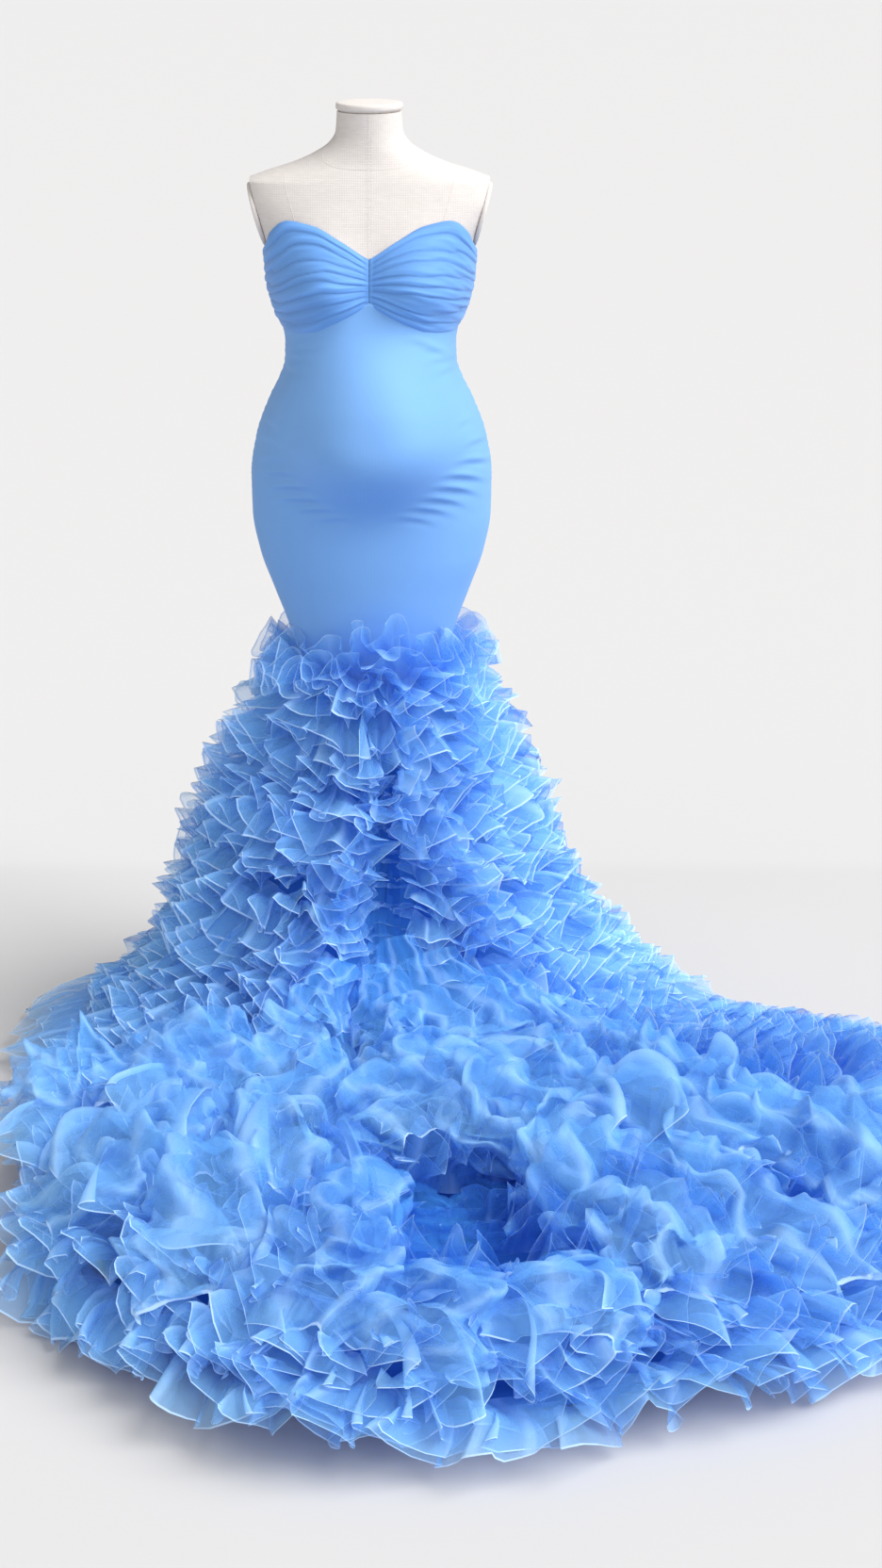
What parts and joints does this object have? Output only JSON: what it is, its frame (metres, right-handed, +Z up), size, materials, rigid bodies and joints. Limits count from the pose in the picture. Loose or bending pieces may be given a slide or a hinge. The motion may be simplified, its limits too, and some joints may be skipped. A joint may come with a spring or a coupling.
{
  "type": "mermaid maternity gown on dress form",
  "caption": "Strapless mermaid maternity gown with a ruched sweetheart bust, smooth jersey body and ruffled tulle skirt with train, on a limbless dress form and stand.",
  "frame": {"origin": "centre of the stand base's underside, on the floor", "axes": "+Z up along the form and its pole, -Y the front of the gown, +X the gown's left side"},
  "size_m": [1.7161, 1.9736, 1.5494],
  "materials": {
    "jersey": "matte stretch jersey",
    "ruched_mesh": "fine soft mesh over jersey",
    "tulle": "soft nylon tulle net",
    "form_cloth": "unbleached linen over a moulded form",
    "stand_metal": "satin steel"
  },
  "bodies": {
    "root": {"form_body": "form_cloth", "neck_cap": "form_cloth", "armhole_plate_left": "form_cloth", "armhole_plate_right": "form_cloth", "stand_pole": "stand_metal", "stand_base": "stand_metal", "cup_left": "ruched_mesh", "cup_right": "ruched_mesh", "back_band": "ruched_mesh", "front_panel": "jersey", "back_panel": "jersey", "underskirt": "tulle", "heading_ruffle": "tulle", "ruffle_01": "tulle", "ruffle_02": "tulle", "ruffle_03": "tulle", "ruffle_04": "tulle", "ruffle_05": "tulle", "ruffle_06": "tulle", "ruffle_07": "tulle", "ruffle_08": "tulle", "train_ruffle_1": "tulle", "train_ruffle_2": "tulle", "train_ruffle_3": "tulle", "train_ruffle_4": "tulle", "hem_ruffle": "tulle", "train_panel": "tulle"}
  },
  "joints": []
}
